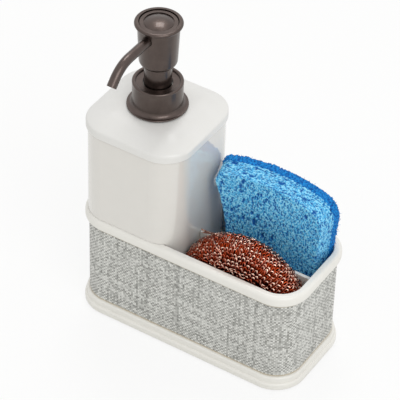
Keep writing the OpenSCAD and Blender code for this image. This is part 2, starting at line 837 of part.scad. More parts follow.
base_plinth();
rubber_feet();
tub();
woven_band();
bottle_body();
bottle_lid();
gasket();
pump_housing();
dip_tube();
inlet_ball();
return_spring();
stem_guide();
closure_ring();
collar_shell();
piston_seal();
stem();
head_core();
head_shell();
head_cap();
spout();
sponge_foam();
scrub_pad();
copper_scrubber();
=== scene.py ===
"""Looks of a soap pump caddy: a white tub with a grey woven wrap, a white bottle with a bronze pump,
a blue scrub sponge and a copper scrubber. Everything is in metres, in the frame of the CAD part."""

import math

import bpy
import numpy as np
from mathutils import Matrix, Vector, kdtree, noise


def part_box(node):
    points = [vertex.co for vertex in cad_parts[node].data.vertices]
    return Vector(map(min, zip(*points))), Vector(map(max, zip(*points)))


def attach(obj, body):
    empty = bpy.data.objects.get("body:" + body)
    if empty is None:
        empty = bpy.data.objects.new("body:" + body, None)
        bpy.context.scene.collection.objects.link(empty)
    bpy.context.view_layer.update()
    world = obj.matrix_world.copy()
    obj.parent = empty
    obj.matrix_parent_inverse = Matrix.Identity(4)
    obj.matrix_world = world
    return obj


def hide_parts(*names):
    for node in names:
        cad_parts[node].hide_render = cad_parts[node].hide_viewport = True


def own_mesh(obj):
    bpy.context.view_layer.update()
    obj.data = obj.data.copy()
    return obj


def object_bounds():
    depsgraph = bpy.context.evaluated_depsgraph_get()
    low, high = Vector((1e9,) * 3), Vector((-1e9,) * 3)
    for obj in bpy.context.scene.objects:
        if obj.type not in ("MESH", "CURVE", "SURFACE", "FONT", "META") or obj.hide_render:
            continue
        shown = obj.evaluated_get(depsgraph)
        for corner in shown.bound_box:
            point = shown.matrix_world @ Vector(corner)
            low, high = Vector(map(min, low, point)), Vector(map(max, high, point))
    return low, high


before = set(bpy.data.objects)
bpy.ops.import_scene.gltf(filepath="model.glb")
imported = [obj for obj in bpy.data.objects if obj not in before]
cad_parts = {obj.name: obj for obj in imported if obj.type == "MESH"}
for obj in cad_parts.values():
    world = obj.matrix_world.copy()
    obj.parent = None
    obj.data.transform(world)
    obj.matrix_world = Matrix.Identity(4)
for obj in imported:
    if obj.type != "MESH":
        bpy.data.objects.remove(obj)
cad_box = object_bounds()
MM = 0.001

# Camera: a long lens that looks down on the caddy from the front, turned towards its open end.
# The angles, distance and focal length were fitted to the straight edges in the photograph.
PHOTO_SIDE_PX = 400
FOCAL_PX = 2369.0
SENSOR_MM = 36.0
CAMERA_TURN = math.radians(31.38)
CAMERA_HEIGHT = math.radians(40.57)
CAMERA_ROLL = math.radians(1.84)
CAMERA_DISTANCE = 1455.9 * MM
LOOK_AT = Vector((-10.0, 0.2, 92.6)) * MM


def place_camera():
    back = Vector((
        math.sin(CAMERA_TURN) * math.cos(CAMERA_HEIGHT),
        -math.cos(CAMERA_TURN) * math.cos(CAMERA_HEIGHT),
        math.sin(CAMERA_HEIGHT),
    ))
    level = Vector((math.cos(CAMERA_TURN), math.sin(CAMERA_TURN), 0))
    upright = back.cross(level)
    right = math.cos(CAMERA_ROLL) * level + math.sin(CAMERA_ROLL) * upright
    up = back.cross(right)
    turn = Matrix((right, up, back)).transposed().to_4x4()
    camera = bpy.data.objects.new("camera", bpy.data.cameras.new("camera"))
    camera.matrix_world = Matrix.Translation(LOOK_AT + CAMERA_DISTANCE * back) @ turn
    camera.data.sensor_width = SENSOR_MM
    camera.data.lens = FOCAL_PX / PHOTO_SIDE_PX * SENSOR_MM
    camera.data.clip_end = 10
    bpy.context.scene.collection.objects.link(camera)
    bpy.context.scene.camera = camera


place_camera()

# Studio: a pale floor, one large soft lamp to the right of the camera, a smaller one behind that puts a shine
# on the metal, and a white surround that is plain white to the camera and in reflections.
SURROUND = "#FFFFFF"
SURROUND_LIGHT = 0.72
PALE_FLOOR = "#F6F6F4"
FLOOR_SHADE = "#F2F2F0"
FLOOR_CLOUDS = 40.0
FLOOR_REACH = 2.5
FLOOR_DROP = 0.2 * MM
# Share of plain white that the camera sees over the floor, so that the floor meets the white surround
FLOOR_WHITE_SHARE = 0.8
KEY_PLACE = Vector((0.9, -0.6, 1.2))
KEY_SIDE = 0.9
KEY_WATTS = 7.0
SHINE_PLACE = Vector((-0.30, 0.50, 1.25))
SHINE_SIDE = 0.42
SHINE_WATTS = 3.0


def linear(hex_colour):
    """Turns an sRGB hex colour into linear red, green, blue and alpha."""
    parts = [int(hex_colour[i:i + 2], 16) / 255 for i in (1, 3, 5)]
    return tuple(c / 12.92 if c <= 0.04045 else ((c + 0.055) / 1.055) ** 2.4 for c in parts) + (1.0,)


def add(owner, kind, inputs=None, **settings):
    """Adds a shader node with its settings, and its inputs as values or links."""
    made = owner.node_tree.nodes.new("ShaderNode" + kind)
    for key, value in settings.items():
        setattr(made, key, value)
    for key, value in (inputs or {}).items():
        if isinstance(value, bpy.types.NodeSocket):
            owner.node_tree.links.new(value, made.inputs[key])
        else:
            made.inputs[key].default_value = value
    return made


def white_surround():
    world = bpy.data.worlds.new("white surround")
    bpy.context.scene.world = world
    world.use_nodes = True
    world.node_tree.nodes.clear()
    path = add(world, "LightPath")
    seen = add(world, "Math", {0: path.outputs["Is Camera Ray"], 1: path.outputs["Is Glossy Ray"]},
               operation="MAXIMUM")
    shown = add(world, "Math", {0: seen.outputs[0], 1: path.outputs["Is Transmission Ray"]},
                operation="MAXIMUM")
    strength = add(world, "Mix", {0: shown.outputs[0], 2: SURROUND_LIGHT, 3: 1.0})
    background = add(world, "Background", {"Color": linear(SURROUND), "Strength": strength.outputs[0]})
    add(world, "OutputWorld", {"Surface": background.outputs[0]})


def pale_floor():
    paint = bpy.data.materials.new("matt painted board")
    paint.use_nodes = True
    paint.node_tree.nodes.clear()
    grain = add(paint, "TexNoise", {"Scale": FLOOR_CLOUDS, "Detail": 3.0})
    tone = add(paint, "Mix", {0: grain.outputs["Fac"], 6: linear(FLOOR_SHADE), 7: linear(PALE_FLOOR)},
               data_type="RGBA")
    board = add(paint, "BsdfDiffuse", {"Color": tone.outputs[2]})
    white = add(paint, "Emission", {"Color": linear(SURROUND), "Strength": 1.0})
    path = add(paint, "LightPath")
    lift = add(paint, "Math", {0: path.outputs["Is Camera Ray"], 1: FLOOR_WHITE_SHARE},
               operation="MULTIPLY")
    mixed = add(paint, "MixShader", {0: lift.outputs[0], 1: board.outputs[0], 2: white.outputs[0]})
    add(paint, "OutputMaterial", {"Surface": mixed.outputs[0]})
    reach = FLOOR_REACH
    sheet = bpy.data.meshes.new("floor")
    sheet.from_pydata([(-reach, -reach, 0), (reach, -reach, 0), (reach, reach, 0), (-reach, reach, 0)],
                      [], [(0, 1, 2, 3)])
    sheet.materials.append(paint)
    floor = bpy.data.objects.new("floor", sheet)
    floor.location.z = cad_box[0][2] - FLOOR_DROP
    bpy.context.scene.collection.objects.link(floor)


def soft_lamp(name, place, side, watts):
    lamp = bpy.data.lights.new(name, "AREA")
    lamp.size = side
    lamp.energy = watts
    holder = bpy.data.objects.new(name, lamp)
    holder.location = place
    holder.rotation_euler = (LOOK_AT - place).to_track_quat("-Z", "Y").to_euler()
    bpy.context.scene.collection.objects.link(holder)


bpy.context.scene.view_settings.view_transform = "Standard"
white_surround()
pale_floor()
soft_lamp("key lamp", KEY_PLACE, KEY_SIDE, KEY_WATTS)
soft_lamp("shine lamp", SHINE_PLACE, SHINE_SIDE, SHINE_WATTS)

# Base and tub: off-white ABS, injection moulded. The mould's satin finish spreads highlights softly,
# and a faint unevenness of the skin keeps large faces from looking like flat paint.
ABS_IOR = 1.54
ABS_WHITE = "#EBE9E3"
ABS_SHADE = "#E7E5DE"
MOULD_WAVE_MM = 9.0
MOULD_GRIT_MM = 0.35
MOULD_GRIT_DEPTH = 0.02 * MM
COAT_ROUGHNESS = 0.03


def material(name):
    made = bpy.data.materials.new(name)
    made.use_nodes = True
    made.node_tree.nodes.clear()
    return made


def close(owner, **sockets):
    """Ends a material in one principled surface. Socket names are written with underscores."""
    surface = add(owner, "BsdfPrincipled", {key.replace("_", " "): value for key, value in sockets.items()})
    add(owner, "OutputMaterial", {"Surface": surface.outputs[0]})
    return owner


def moulded(name, light, shade, roughness, coat=0.0):
    """Injection-moulded plastic: a slow drift of tone, and a fine skin texture in the bump."""
    made = material(name)
    place = add(made, "TexCoord").outputs["Object"]
    drift = add(made, "TexNoise", {"Vector": place, "Scale": 1 / (MOULD_WAVE_MM * MM), "Detail": 2.0})
    skin = add(made, "TexNoise", {"Vector": place, "Scale": 1 / (MOULD_GRIT_MM * MM), "Detail": 2.0})
    tone = add(made, "Mix", {0: drift.outputs["Fac"], 6: linear(shade), 7: linear(light)}, data_type="RGBA")
    bump = add(made, "Bump", {"Height": skin.outputs["Fac"], "Strength": 0.3,
                             "Distance": MOULD_GRIT_DEPTH})
    gloss = add(made, "MapRange", {"Value": drift.outputs["Fac"], "To Min": roughness * 0.9,
                                   "To Max": roughness * 1.1})
    return close(made, Base_Color=tone.outputs[2], Roughness=gloss.outputs[0], IOR=ABS_IOR,
                 Coat_Weight=coat, Coat_Roughness=COAT_ROUGHNESS, Normal=bump.outputs[0])


def dress(finish, *nodes):
    for name in nodes:
        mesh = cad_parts[name].data
        mesh.materials.clear()
        mesh.materials.append(finish)


satin_abs = moulded("ABS, satin moulded", ABS_WHITE, ABS_SHADE, roughness=0.34)
dress(satin_abs, "base_plinth", "tub")

# Feet: black rubber pads let into the base. Moulded rubber is matt with a grey bloom.
RUBBER_BLACK = "#2E2E2D"
RUBBER_BLOOM = "#454442"
rubber = moulded("rubber, matt moulded", RUBBER_BLOOM, RUBBER_BLACK, roughness=0.8)
dress(rubber, "rubber_feet")

# Woven wrap: a plain weave of two grey yarns, glued round the tub between the base and the rim.
# It is woven here as one sheet whose threads rise and dip, and each thread has its own tone. The threads
# lie at the pitch that the photograph shows, and the cut edges are a thin tan line at top and bottom.
THREAD_MM = 1.22
THREAD_RISE_MM = 0.28
SAMPLES_PER_THREAD = 3
ARCH_SHARE = 0.9
DIP_SHARE = 0.28
DIP_REACH_SHARE = 0.8
YARN_LIGHT = "#EDEDE8"
YARN_DARK = "#8E8E89"
YARN_SHADOW = "#50504C"
SELVEDGE = "#CDBFA5"
SELVEDGE_SHARE = 0.8
YARN_FIBRE_MM = 0.35
# Tone of the threads from dark, 0, to light, 1, and how far single threads and single stitches stray from it
WARP_TONE = 0.84
WARP_SPREAD = 0.19
WEFT_TONE = 0.3
WEFT_SPREAD = 0.15
SLUB = 0.27
TONE_LIMIT = 1.2
GAP_LIGHT = 0.15
DEPTH_GAIN = 1.1
WRAP_CORNER_MM = 18.1
WRAP_SEED = 11


def rounded_path(half_x, half_y, r, count):
    """Points and outward directions at equal steps round a rectangle with round corners."""
    straight_x, straight_y, arc = 2 * (half_x - r), 2 * (half_y - r), math.pi / 2 * r
    sides = [straight_x, arc, straight_y, arc, straight_x, arc, straight_y, arc]
    total = sum(sides)
    starts = [(-half_x + r, -half_y), (half_x, -half_y + r), (half_x - r, half_y), (-half_x, half_y - r)]
    corners = [(half_x - r, -half_y + r), (half_x - r, half_y - r), (-half_x + r, half_y - r),
               (-half_x + r, -half_y + r)]
    points, outward = [], []
    for i in range(count):
        left = total * i / count
        side = 0
        while left > sides[side] and side < 7:
            left -= sides[side]
            side += 1
        facing = math.pi / 2 * (side // 2) - math.pi / 2
        if side % 2 == 0:
            along = (-math.sin(facing), math.cos(facing))
            start = starts[side // 2]
            points.append((start[0] + along[0] * left, start[1] + along[1] * left))
        else:
            facing += left / r
            centre = corners[side // 2]
            points.append((centre[0] + r * math.cos(facing), centre[1] + r * math.sin(facing)))
        outward.append((math.cos(facing), math.sin(facing)))
    return np.array(points), np.array(outward), total


def piece(name, points, faces, finish, body, smooth=True):
    """Makes a mesh object in the part's frame and lets it ride on a body."""
    mesh = bpy.data.meshes.new(name)
    mesh.from_pydata([tuple(p) for p in points], [], [tuple(f) for f in faces])
    mesh.polygons.foreach_set("use_smooth", [smooth] * len(mesh.polygons))
    mesh.materials.append(finish)
    made = bpy.data.objects.new(name, mesh)
    bpy.context.scene.collection.objects.link(made)
    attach(made, body)
    return made


def paint_points(obj, name, values):
    """Keeps one number per point on the mesh, for the material to read."""
    layer = obj.data.attributes.new(name, "FLOAT", "POINT")
    layer.data.foreach_set("value", np.asarray(values, float).ravel())


def woven_cloth():
    made = material("polyester yarn, plain woven")
    tone = add(made, "Attribute", attribute_name="thread_tone").outputs["Fac"]
    depth = add(made, "Attribute", attribute_name="thread_depth").outputs["Fac"]
    edge = add(made, "Attribute", attribute_name="selvedge").outputs["Fac"]
    place = add(made, "TexCoord").outputs["Object"]
    fibre = add(made, "TexNoise", {"Vector": place, "Scale": 1 / (YARN_FIBRE_MM * MM), "Detail": 3.0})
    mixed = add(made, "Math", {0: fibre.outputs["Fac"], 1: 0.5, 2: tone}, operation="MULTIPLY_ADD")
    shifted = add(made, "Math", {0: mixed.outputs[0], 1: 0.25}, operation="SUBTRACT", use_clamp=True)
    yarn = add(made, "Mix", {0: shifted.outputs[0], 6: linear(YARN_DARK), 7: linear(YARN_LIGHT)},
               data_type="RGBA")
    edged = add(made, "Mix", {0: edge, 6: yarn.outputs[2], 7: linear(SELVEDGE)}, data_type="RGBA")
    sunk = add(made, "Mix", {0: depth, 6: linear(YARN_SHADOW), 7: edged.outputs[2]}, data_type="RGBA")
    bump = add(made, "Bump", {"Height": fibre.outputs["Fac"], "Strength": 0.5, "Distance": 0.0001})
    return close(made, Base_Color=sunk.outputs[2], Roughness=0.85, Sheen_Weight=0.15, Sheen_Roughness=0.5,
                 Normal=bump.outputs[0])


def thread_arch(across, along):
    """Height of a thread over its cell: round across, and a little lower at both ends."""
    ends = 1 - DIP_SHARE + DIP_SHARE * np.cos(np.pi * along * DIP_REACH_SHARE)
    return np.cos(np.pi * across * ARCH_SHARE) * ends


def weave_wrap():
    low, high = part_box("woven_band")
    half_x, half_y = high.x - THREAD_RISE_MM * MM, high.y - THREAD_RISE_MM * MM
    corner = WRAP_CORNER_MM * MM
    around = rounded_path(half_x, half_y, corner, 8)[2]
    columns = 2 * round(around / (THREAD_MM * MM) / 2)
    rows = round((high.z - low.z) / (THREAD_MM * MM))
    wide, tall = columns * SAMPLES_PER_THREAD, rows * SAMPLES_PER_THREAD + 1
    path, outward, _ = rounded_path(half_x, half_y, corner, wide)
    chance = np.random.default_rng(WRAP_SEED)
    warp_tone = chance.normal(WARP_TONE, WARP_SPREAD, columns)
    weft_tone = chance.normal(WEFT_TONE, WEFT_SPREAD, rows)
    slub = chance.normal(0, SLUB, (rows, columns))
    u = np.arange(wide) / SAMPLES_PER_THREAD
    v = np.arange(tall) / SAMPLES_PER_THREAD
    col, row = np.floor(u).astype(int), np.minimum(np.floor(v).astype(int), rows - 1)
    across, along = np.meshgrid(u - col - 1 / 3, v - row - 1 / 3)
    cols, rws = np.meshgrid(col, row)
    over = (cols + rws) % 2 == 0
    pillow = np.clip(np.where(over, thread_arch(across, along), thread_arch(along, across)), 0, 1)
    tone = np.where(over, warp_tone[cols], weft_tone[rws]) + slub[rws, cols]
    rise = (pillow * 2 - 1) * THREAD_RISE_MM * MM
    z = low.z + (high.z - low.z) * v / rows
    points = np.empty((tall, wide, 3))
    points[..., 0] = path[None, :, 0] + outward[None, :, 0] * rise
    points[..., 1] = path[None, :, 1] + outward[None, :, 1] * rise
    points[..., 2] = z[:, None]
    faces = []
    for i in range(tall - 1):
        for j in range(wide):
            k = (j + 1) % wide
            faces.append((i * wide + j, i * wide + k, (i + 1) * wide + k, (i + 1) * wide + j))
    wrap = piece("woven_wrap", points.reshape(-1, 3), faces, woven_cloth(), "caddy")
    paint_points(wrap, "thread_tone", np.clip(tone, 0, TONE_LIMIT))
    paint_points(wrap, "thread_depth", np.clip(GAP_LIGHT + pillow * DEPTH_GAIN, 0, 1))
    paint_points(wrap, "selvedge", SELVEDGE_SHARE * ((rws == 0) | (rws == rows - 1)))
    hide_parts("woven_band")


weave_wrap()

# Bottle: white ABS from a polished mould, so that its faces mirror what stands beside them.
# Its lid is the same plastic, painted a shade whiter as the light on its upward top, and satin, so that its
# top shows no sharp highlight.
BOTTLE_WHITE = "#DFDCD6"
BOTTLE_SHADE = "#DBD8D2"
LID_LIT_WHITE = "#E4E3E0"
LID_LIT_SHADE = "#E1E0DC"
gloss_abs = moulded("ABS, polished moulded", BOTTLE_WHITE, BOTTLE_SHADE, roughness=0.1, coat=1.0)
# The lid's whiter colour is painted light for its upward-facing top.
lit_white_abs = moulded("ABS, white satin moulded", LID_LIT_WHITE, LID_LIT_SHADE, roughness=0.3)
dress(gloss_abs, "bottle_body")
dress(lit_white_abs, "bottle_lid")

# Inner works of the pump: natural polypropylene, moulded, with a clear tube, a soft seal and steel.
# They show only when the pump is lifted out.
PP_NATURAL = "#E8E5DC"
PP_SHADE = "#DEDAD0"
SEAL_WHITE = "#D2CEC4"
TUBE_CLEAR = "#E2E8EA"
STEEL = "#B9BBBD"
STEEL_DRAG_MM = 0.8
natural_pp = moulded("polypropylene, natural moulded", PP_NATURAL, PP_SHADE, roughness=0.4)
soft_seal = moulded("thermoplastic rubber, moulded", SEAL_WHITE, PP_SHADE, roughness=0.7)
clear_pp = moulded("polyethylene tube, extruded", TUBE_CLEAR, SEAL_WHITE, roughness=0.25)
dress(natural_pp, "pump_housing", "stem")
dress(soft_seal, "gasket", "piston_seal")
dress(clear_pp, "dip_tube")


def drawn_steel():
    made = material("stainless steel, drawn")
    place = add(made, "TexCoord").outputs["Object"]
    drag = add(made, "TexNoise", {"Vector": place, "Scale": 1 / (STEEL_DRAG_MM * MM), "Detail": 2.0})
    rough = add(made, "MapRange", {"Value": drag.outputs["Fac"], "To Min": 0.18, "To Max": 0.34})
    return close(made, Base_Color=linear(STEEL), Metallic=1.0, Roughness=rough.outputs[0])


def sprung_coil(finish):
    """Stands for the return spring: a copy of its mesh that rides on the pump core."""
    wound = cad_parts["return_spring"].data
    coil = piece("steel_coil", [v.co for v in wound.vertices], [p.vertices for p in wound.polygons], finish,
                 "pump_core")
    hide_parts("return_spring")
    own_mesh(coil)


steel = drawn_steel()
dress(steel, "inlet_ball")
sprung_coil(steel)

# Dark core and closure: black-brown polypropylene, moulded, hidden under the bronze shells.
CORE_BROWN = "#38302D"
CORE_SHADE = "#2C2523"
dress(moulded("polypropylene, dark moulded", CORE_BROWN, CORE_SHADE, roughness=0.45),
      "closure_ring", "head_core")

# Pump shells and spout: plated metal in an oil-rubbed bronze, lacquered over.
# The plating is a dark warm grey that mirrors the room softly, and the lacquer adds a sharp highlight.
BRONZE = "#5E524D"
BRONZE_DARK = "#483D39"
BRONZE_CLOUD_MM = 6.0
BRONZE_GRAIN_MM = 0.25
BRONZE_GRAIN_DEPTH = 0.01 * MM


def rubbed_bronze():
    made = material("steel, oil-rubbed bronze plated")
    place = add(made, "TexCoord").outputs["Object"]
    cloud = add(made, "TexNoise", {"Vector": place, "Scale": 1 / (BRONZE_CLOUD_MM * MM), "Detail": 3.0})
    grain = add(made, "TexNoise", {"Vector": place, "Scale": 1 / (BRONZE_GRAIN_MM * MM), "Detail": 2.0})
    tone = add(made, "Mix", {0: cloud.outputs["Fac"], 6: linear(BRONZE_DARK), 7: linear(BRONZE)},
               data_type="RGBA")
    rough = add(made, "MapRange", {"Value": cloud.outputs["Fac"], "To Min": 0.28, "To Max": 0.4})
    bump = add(made, "Bump", {"Height": grain.outputs["Fac"], "Strength": 0.2,
                             "Distance": BRONZE_GRAIN_DEPTH})
    return close(made, Base_Color=tone.outputs[2], Metallic=1.0, Roughness=rough.outputs[0],
                 Coat_Weight=0.4, Coat_Roughness=0.05, Normal=bump.outputs[0])


dress(rubbed_bronze(), "stem_guide", "collar_shell", "head_shell", "head_cap", "spout")

# Sponge foam: cellulose, regenerated and foamed, then cut to a waisted block. Its cut faces are full
# of pores, most of them about a millimetre wide, whose insides are painted a darker blue as shade. The rims
# of the foam's cells are painted lighter and their middles darker, as painted light and shade.
FOAM_RIDGE_LIT = "#90DAF8"
FOAM_BLUE = "#38A2DC"
PORE_SHADE_BLUE = "#1474BE"
PORE_SHADE_DEEP = "#0A58A2"
CELL_MM = 1.1
HOLE_MM = 1.5
HOLE_LENGTH = 1.6
FOAM_VOXEL = 0.5 * MM
SMALL_PORES = 7000
SMALL_PORE_MM = (0.3, 0.6)
LARGE_PORES = 130
LARGE_PORE_MM = (0.7, 1.4)
PORE_DEPTH_SHARE = 0.8
# Above this share of upward slope a face counts as the top, and its pores lie along the sponge
TOP_FACE_SLOPE = 0.7
SPONGE_SEED = 5


def refined(node, voxel):
    """Points, normals and faces of a CAD node's shape as an even mesh."""
    copy = bpy.data.objects.new("refining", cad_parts[node].data.copy())
    bpy.context.scene.collection.objects.link(copy)
    even = copy.modifiers.new("even", "REMESH")
    even.mode = "VOXEL"
    even.voxel_size = voxel
    smooth = copy.modifiers.new("smooth", "SMOOTH")
    smooth.factor = 0.5
    smooth.iterations = 2
    graph = bpy.context.evaluated_depsgraph_get()
    mesh = bpy.data.meshes.new_from_object(copy.evaluated_get(graph))
    points = np.empty(len(mesh.vertices) * 3)
    normals = np.empty(len(mesh.vertices) * 3)
    mesh.vertices.foreach_get("co", points)
    mesh.vertices.foreach_get("normal", normals)
    faces = [tuple(p.vertices) for p in mesh.polygons]
    bpy.data.objects.remove(copy)
    return points.reshape(-1, 3), normals.reshape(-1, 3), faces


def tree_of(points):
    tree = kdtree.KDTree(len(points))
    for i, p in enumerate(points):
        tree.insert(p, i)
    tree.balance()
    return tree


def cut_pores(points, normals, small, large, chance):
    """Presses long round pits into the surface, and says for each point how far inside a pore it is."""
    tree = tree_of(points)
    depth = np.zeros(len(points))
    inside = np.zeros(len(points))
    radii = MM * np.concatenate([chance.uniform(*SMALL_PORE_MM, small),
                                 chance.uniform(*LARGE_PORE_MM, large)])
    for centre, radius in zip(chance.integers(0, len(points), len(radii)), radii):
        near = np.array([i for _, i, _ in tree.find_range(points[centre], radius * HOLE_LENGTH)])
        away = points[near] - points[centre]
        grain = 0 if abs(normals[centre, 2]) > TOP_FACE_SLOPE else 2
        along = away[:, grain]
        span = (away ** 2).sum(axis=1) - along ** 2 + (along / HOLE_LENGTH) ** 2
        hollow = np.clip(1 - span / radius ** 2, 0, 1)
        depth[near] = np.maximum(depth[near], PORE_DEPTH_SHARE * radius * hollow ** 0.5)
        inside[near] = np.maximum(inside[near], np.minimum(1, 2 * hollow))
    return points - normals * depth[:, None], inside


def cellulose():
    made = material("cellulose, foamed and cut")
    pore = add(made, "Attribute", attribute_name="pore").outputs["Fac"]
    place = add(made, "TexCoord").outputs["Object"]
    cells = add(made, "TexVoronoi", {"Vector": place, "Scale": 1 / (CELL_MM * MM)})
    # Cell rims are painted lighter as lit ridges, and cell middles darker as shade.
    ridge = add(made, "MapRange", {"Value": cells.outputs["Distance"], "From Min": 0.35, "From Max": 0.68})
    drawn = add(made, "Mapping", {"Vector": place, "Scale": (1, 1, 1 / HOLE_LENGTH)})
    holes = add(made, "TexVoronoi", {"Vector": drawn.outputs[0], "Scale": 1 / (HOLE_MM * MM)})
    size = add(made, "SeparateColor", {"Color": holes.outputs["Color"]})
    edge = add(made, "Math", {0: size.outputs[0], 1: -0.36, 2: holes.outputs["Distance"]},
               operation="MULTIPLY_ADD")
    wall = add(made, "MapRange", {"Value": edge.outputs[0], "From Min": -0.04, "From Max": 0.08})
    body = add(made, "Mix", {0: ridge.outputs[0], 6: linear(FOAM_BLUE), 7: linear(FOAM_RIDGE_LIT)},
               data_type="RGBA")
    # Holes of the texture are painted a darker blue as the shade inside them.
    holed = add(made, "Mix", {0: wall.outputs[0], 6: linear(PORE_SHADE_BLUE), 7: body.outputs[2]},
                data_type="RGBA")
    # Points inside the pressed pores are painted deep blue as their shade.
    pitted = add(made, "Mix", {0: pore, 6: holed.outputs[2], 7: linear(PORE_SHADE_DEEP)}, data_type="RGBA")
    bump = add(made, "Bump", {"Height": wall.outputs[0], "Strength": 0.5, "Distance": 0.0003})
    return close(made, Base_Color=pitted.outputs[2], Roughness=0.7, Specular_IOR_Level=0.3,
                 Normal=bump.outputs[0])


def foam_block():
    chance = np.random.default_rng(SPONGE_SEED)
    points, normals, faces = refined("sponge_foam", FOAM_VOXEL)
    points, pore = cut_pores(points, normals, SMALL_PORES, LARGE_PORES, chance)
    foam = piece("cellulose_foam", points, faces, cellulose(), "sponge")
    paint_points(foam, "pore", pore)
    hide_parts("sponge_foam")


foam_block()

# Scrubbing layer: a non-woven web of nylon fibre, resin-bonded and dyed, glued to the back of the foam.
# Its surface is rough and fuzzy, with loose fibre ends at its edge.
WEB_BLUE = "#1C98E6"
WEB_HOLLOW_SHADE = "#004C9E"
WEB_VOXEL = 0.6 * MM
WEB_ROUGH_MM = 0.9
WEB_PUFF = 0.6
WEB_LUMP_MM = 1.0
WEB_TANGLE_MM = 1.2
FIBRES = 3000
FIBRE_LENGTH_MM = (0.7, 1.5)
FIBRE_RADIUS_MM = 0.09
FIBRE_SIDES = 3
FIBRE_LEAN = 0.7
FIBRE_BEND = 0.35


def nylon_web():
    made = material("nylon web, resin bonded")
    place = add(made, "TexCoord").outputs["Object"]
    tangle = add(made, "TexNoise", {"Vector": place, "Scale": 1 / (WEB_TANGLE_MM * MM), "Detail": 5.0,
                                    "Roughness": 0.7})
    spread = add(made, "MapRange", {"Value": tangle.outputs["Fac"], "From Min": 0.4, "From Max": 0.6})
    # The web is painted darker where its bump is low, as shade in its hollows.
    tone = add(made, "Mix", {0: spread.outputs[0], 6: linear(WEB_HOLLOW_SHADE), 7: linear(WEB_BLUE)},
               data_type="RGBA")
    bump = add(made, "Bump", {"Height": tangle.outputs["Fac"], "Strength": 0.9, "Distance": 0.0006})
    return close(made, Base_Color=tone.outputs[2], Roughness=0.7, Specular_IOR_Level=0.25,
                 Normal=bump.outputs[0])


def tube_rings(path, radius, sides, first):
    """Points and faces of a thin tube along a path, numbered from a first point."""
    path = np.asarray(path, float)
    ahead = np.gradient(path, axis=0)
    ahead /= np.linalg.norm(ahead, axis=1)[:, None] + 1e-12
    aside = np.cross(ahead, (0.31, 0.83, 0.46))
    aside /= np.linalg.norm(aside, axis=1)[:, None] + 1e-12
    third = np.cross(ahead, aside)
    turns = np.arange(sides) * 2 * math.pi / sides
    rings = path[:, None] + radius * (np.cos(turns)[None, :, None] * aside[:, None]
                                      + np.sin(turns)[None, :, None] * third[:, None])
    faces = []
    for i in range(len(path) - 1):
        for j in range(sides):
            k = (j + 1) % sides
            a, b = first + i * sides, first + (i + 1) * sides
            faces.append((a + j, a + k, b + k, b + j))
    faces.append(tuple(first + j for j in reversed(range(sides))))
    faces.append(tuple(first + (len(path) - 1) * sides + j for j in range(sides)))
    return rings.reshape(-1, 3), faces


def scrub_layer():
    chance = np.random.default_rng(SPONGE_SEED + 1)
    points, normals, faces = refined("scrub_pad", WEB_VOXEL)
    lift = np.array([noise.noise(Vector(p) / (WEB_LUMP_MM * MM)) for p in points])
    points = points + normals * ((lift + WEB_PUFF) * WEB_ROUGH_MM * MM)[:, None]
    finish = nylon_web()
    web = piece("scrub_web", points, faces, finish, "sponge")
    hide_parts("scrub_pad")
    grown, grown_faces = [], []
    count = 0
    for i in chance.integers(0, len(points), FIBRES):
        lean = chance.normal(0, FIBRE_LEAN, 3)
        length = chance.uniform(*FIBRE_LENGTH_MM) * MM
        way = normals[i] + lean
        way /= np.linalg.norm(way)
        bend = chance.normal(0, FIBRE_BEND, 3)
        path = [points[i] + length * t * (way + bend * t) for t in (-0.2, 0.3, 0.65, 1.0)]
        ring_points, ring_faces = tube_rings(path, FIBRE_RADIUS_MM * MM, FIBRE_SIDES, count)
        count += len(ring_points)
        grown.append(ring_points)
        grown_faces += ring_faces
    piece("scrub_fibres", np.concatenate(grown), grown_faces, finish, "sponge")


scrub_layer()

# Copper scrubber: flat copper wire knitted into a tube, rolled up and pushed into the front bay.
# Its loops lie in rows round the pad, and each bit of wire is twisted, so that it glints on its own.
# The crowns of some loops are painted a near-white colour as highlight, and the loops are painted darker
# towards their roots as shade, with a random spread of tone.
COPPER = "#9C3818"
COPPER_ROOT_SHADE = "#330A04"
COPPER_GLINT = "#FFE0CC"
COPPER_GAP_SHADE = "#1E0603"
COPPER_DEEP_SHADE = "#4A140A"
LOOP_MM = 2.8
ROW_MM = 2.1
LOOP_RISE_MM = 0.75
WIRE_WIDE_MM = 0.95
WIRE_THICK_MM = 0.5
WIRE_SIDES = 6
LOOP_STEPS = 10
LOOP_ROOM_MM = 0.9
LOOP_REACH_SHARE = 1.15
LOOP_NECK_SHARE = 0.2
# How far single loops stray from the even row: in size, sideways, in height and in twist
LOOP_SIZE_SPREAD = 0.16
LOOP_SHIFT_MM = 0.28
LOOP_RAISE_MM = 0.3
LOOP_TWIST = 0.25
PAD_EDGE_SHARE = 0.94
CORE_VOXEL = 2.0 * MM
CORE_INSET = 1.7 * MM
CORE_TANGLE_MM = 1.6
CORE_BUMP = 0.8 * MM
# Room that the pad keeps in its bay: to the bottle, to the right wall, and to front and back
BAY_GAPS_MM = (0.2, 0.1, 0.05)
BAY_CORNER_MM = 14.9
BAY_CORNER_GAP_MM = 0.1
# Random spread of the painted shade at the loop roots
ROOT_SHADE_SPREAD = 0.25
CROWN_SHARPNESS = 9
CROWN_SHINE = 2.4
SHINE_RARITY = 1.6
SCRUBBER_SEED = 7
STRAND_STEPS = 6
STRAND_SMOOTHING = 3
STRAND_DULLNESS = 1.5
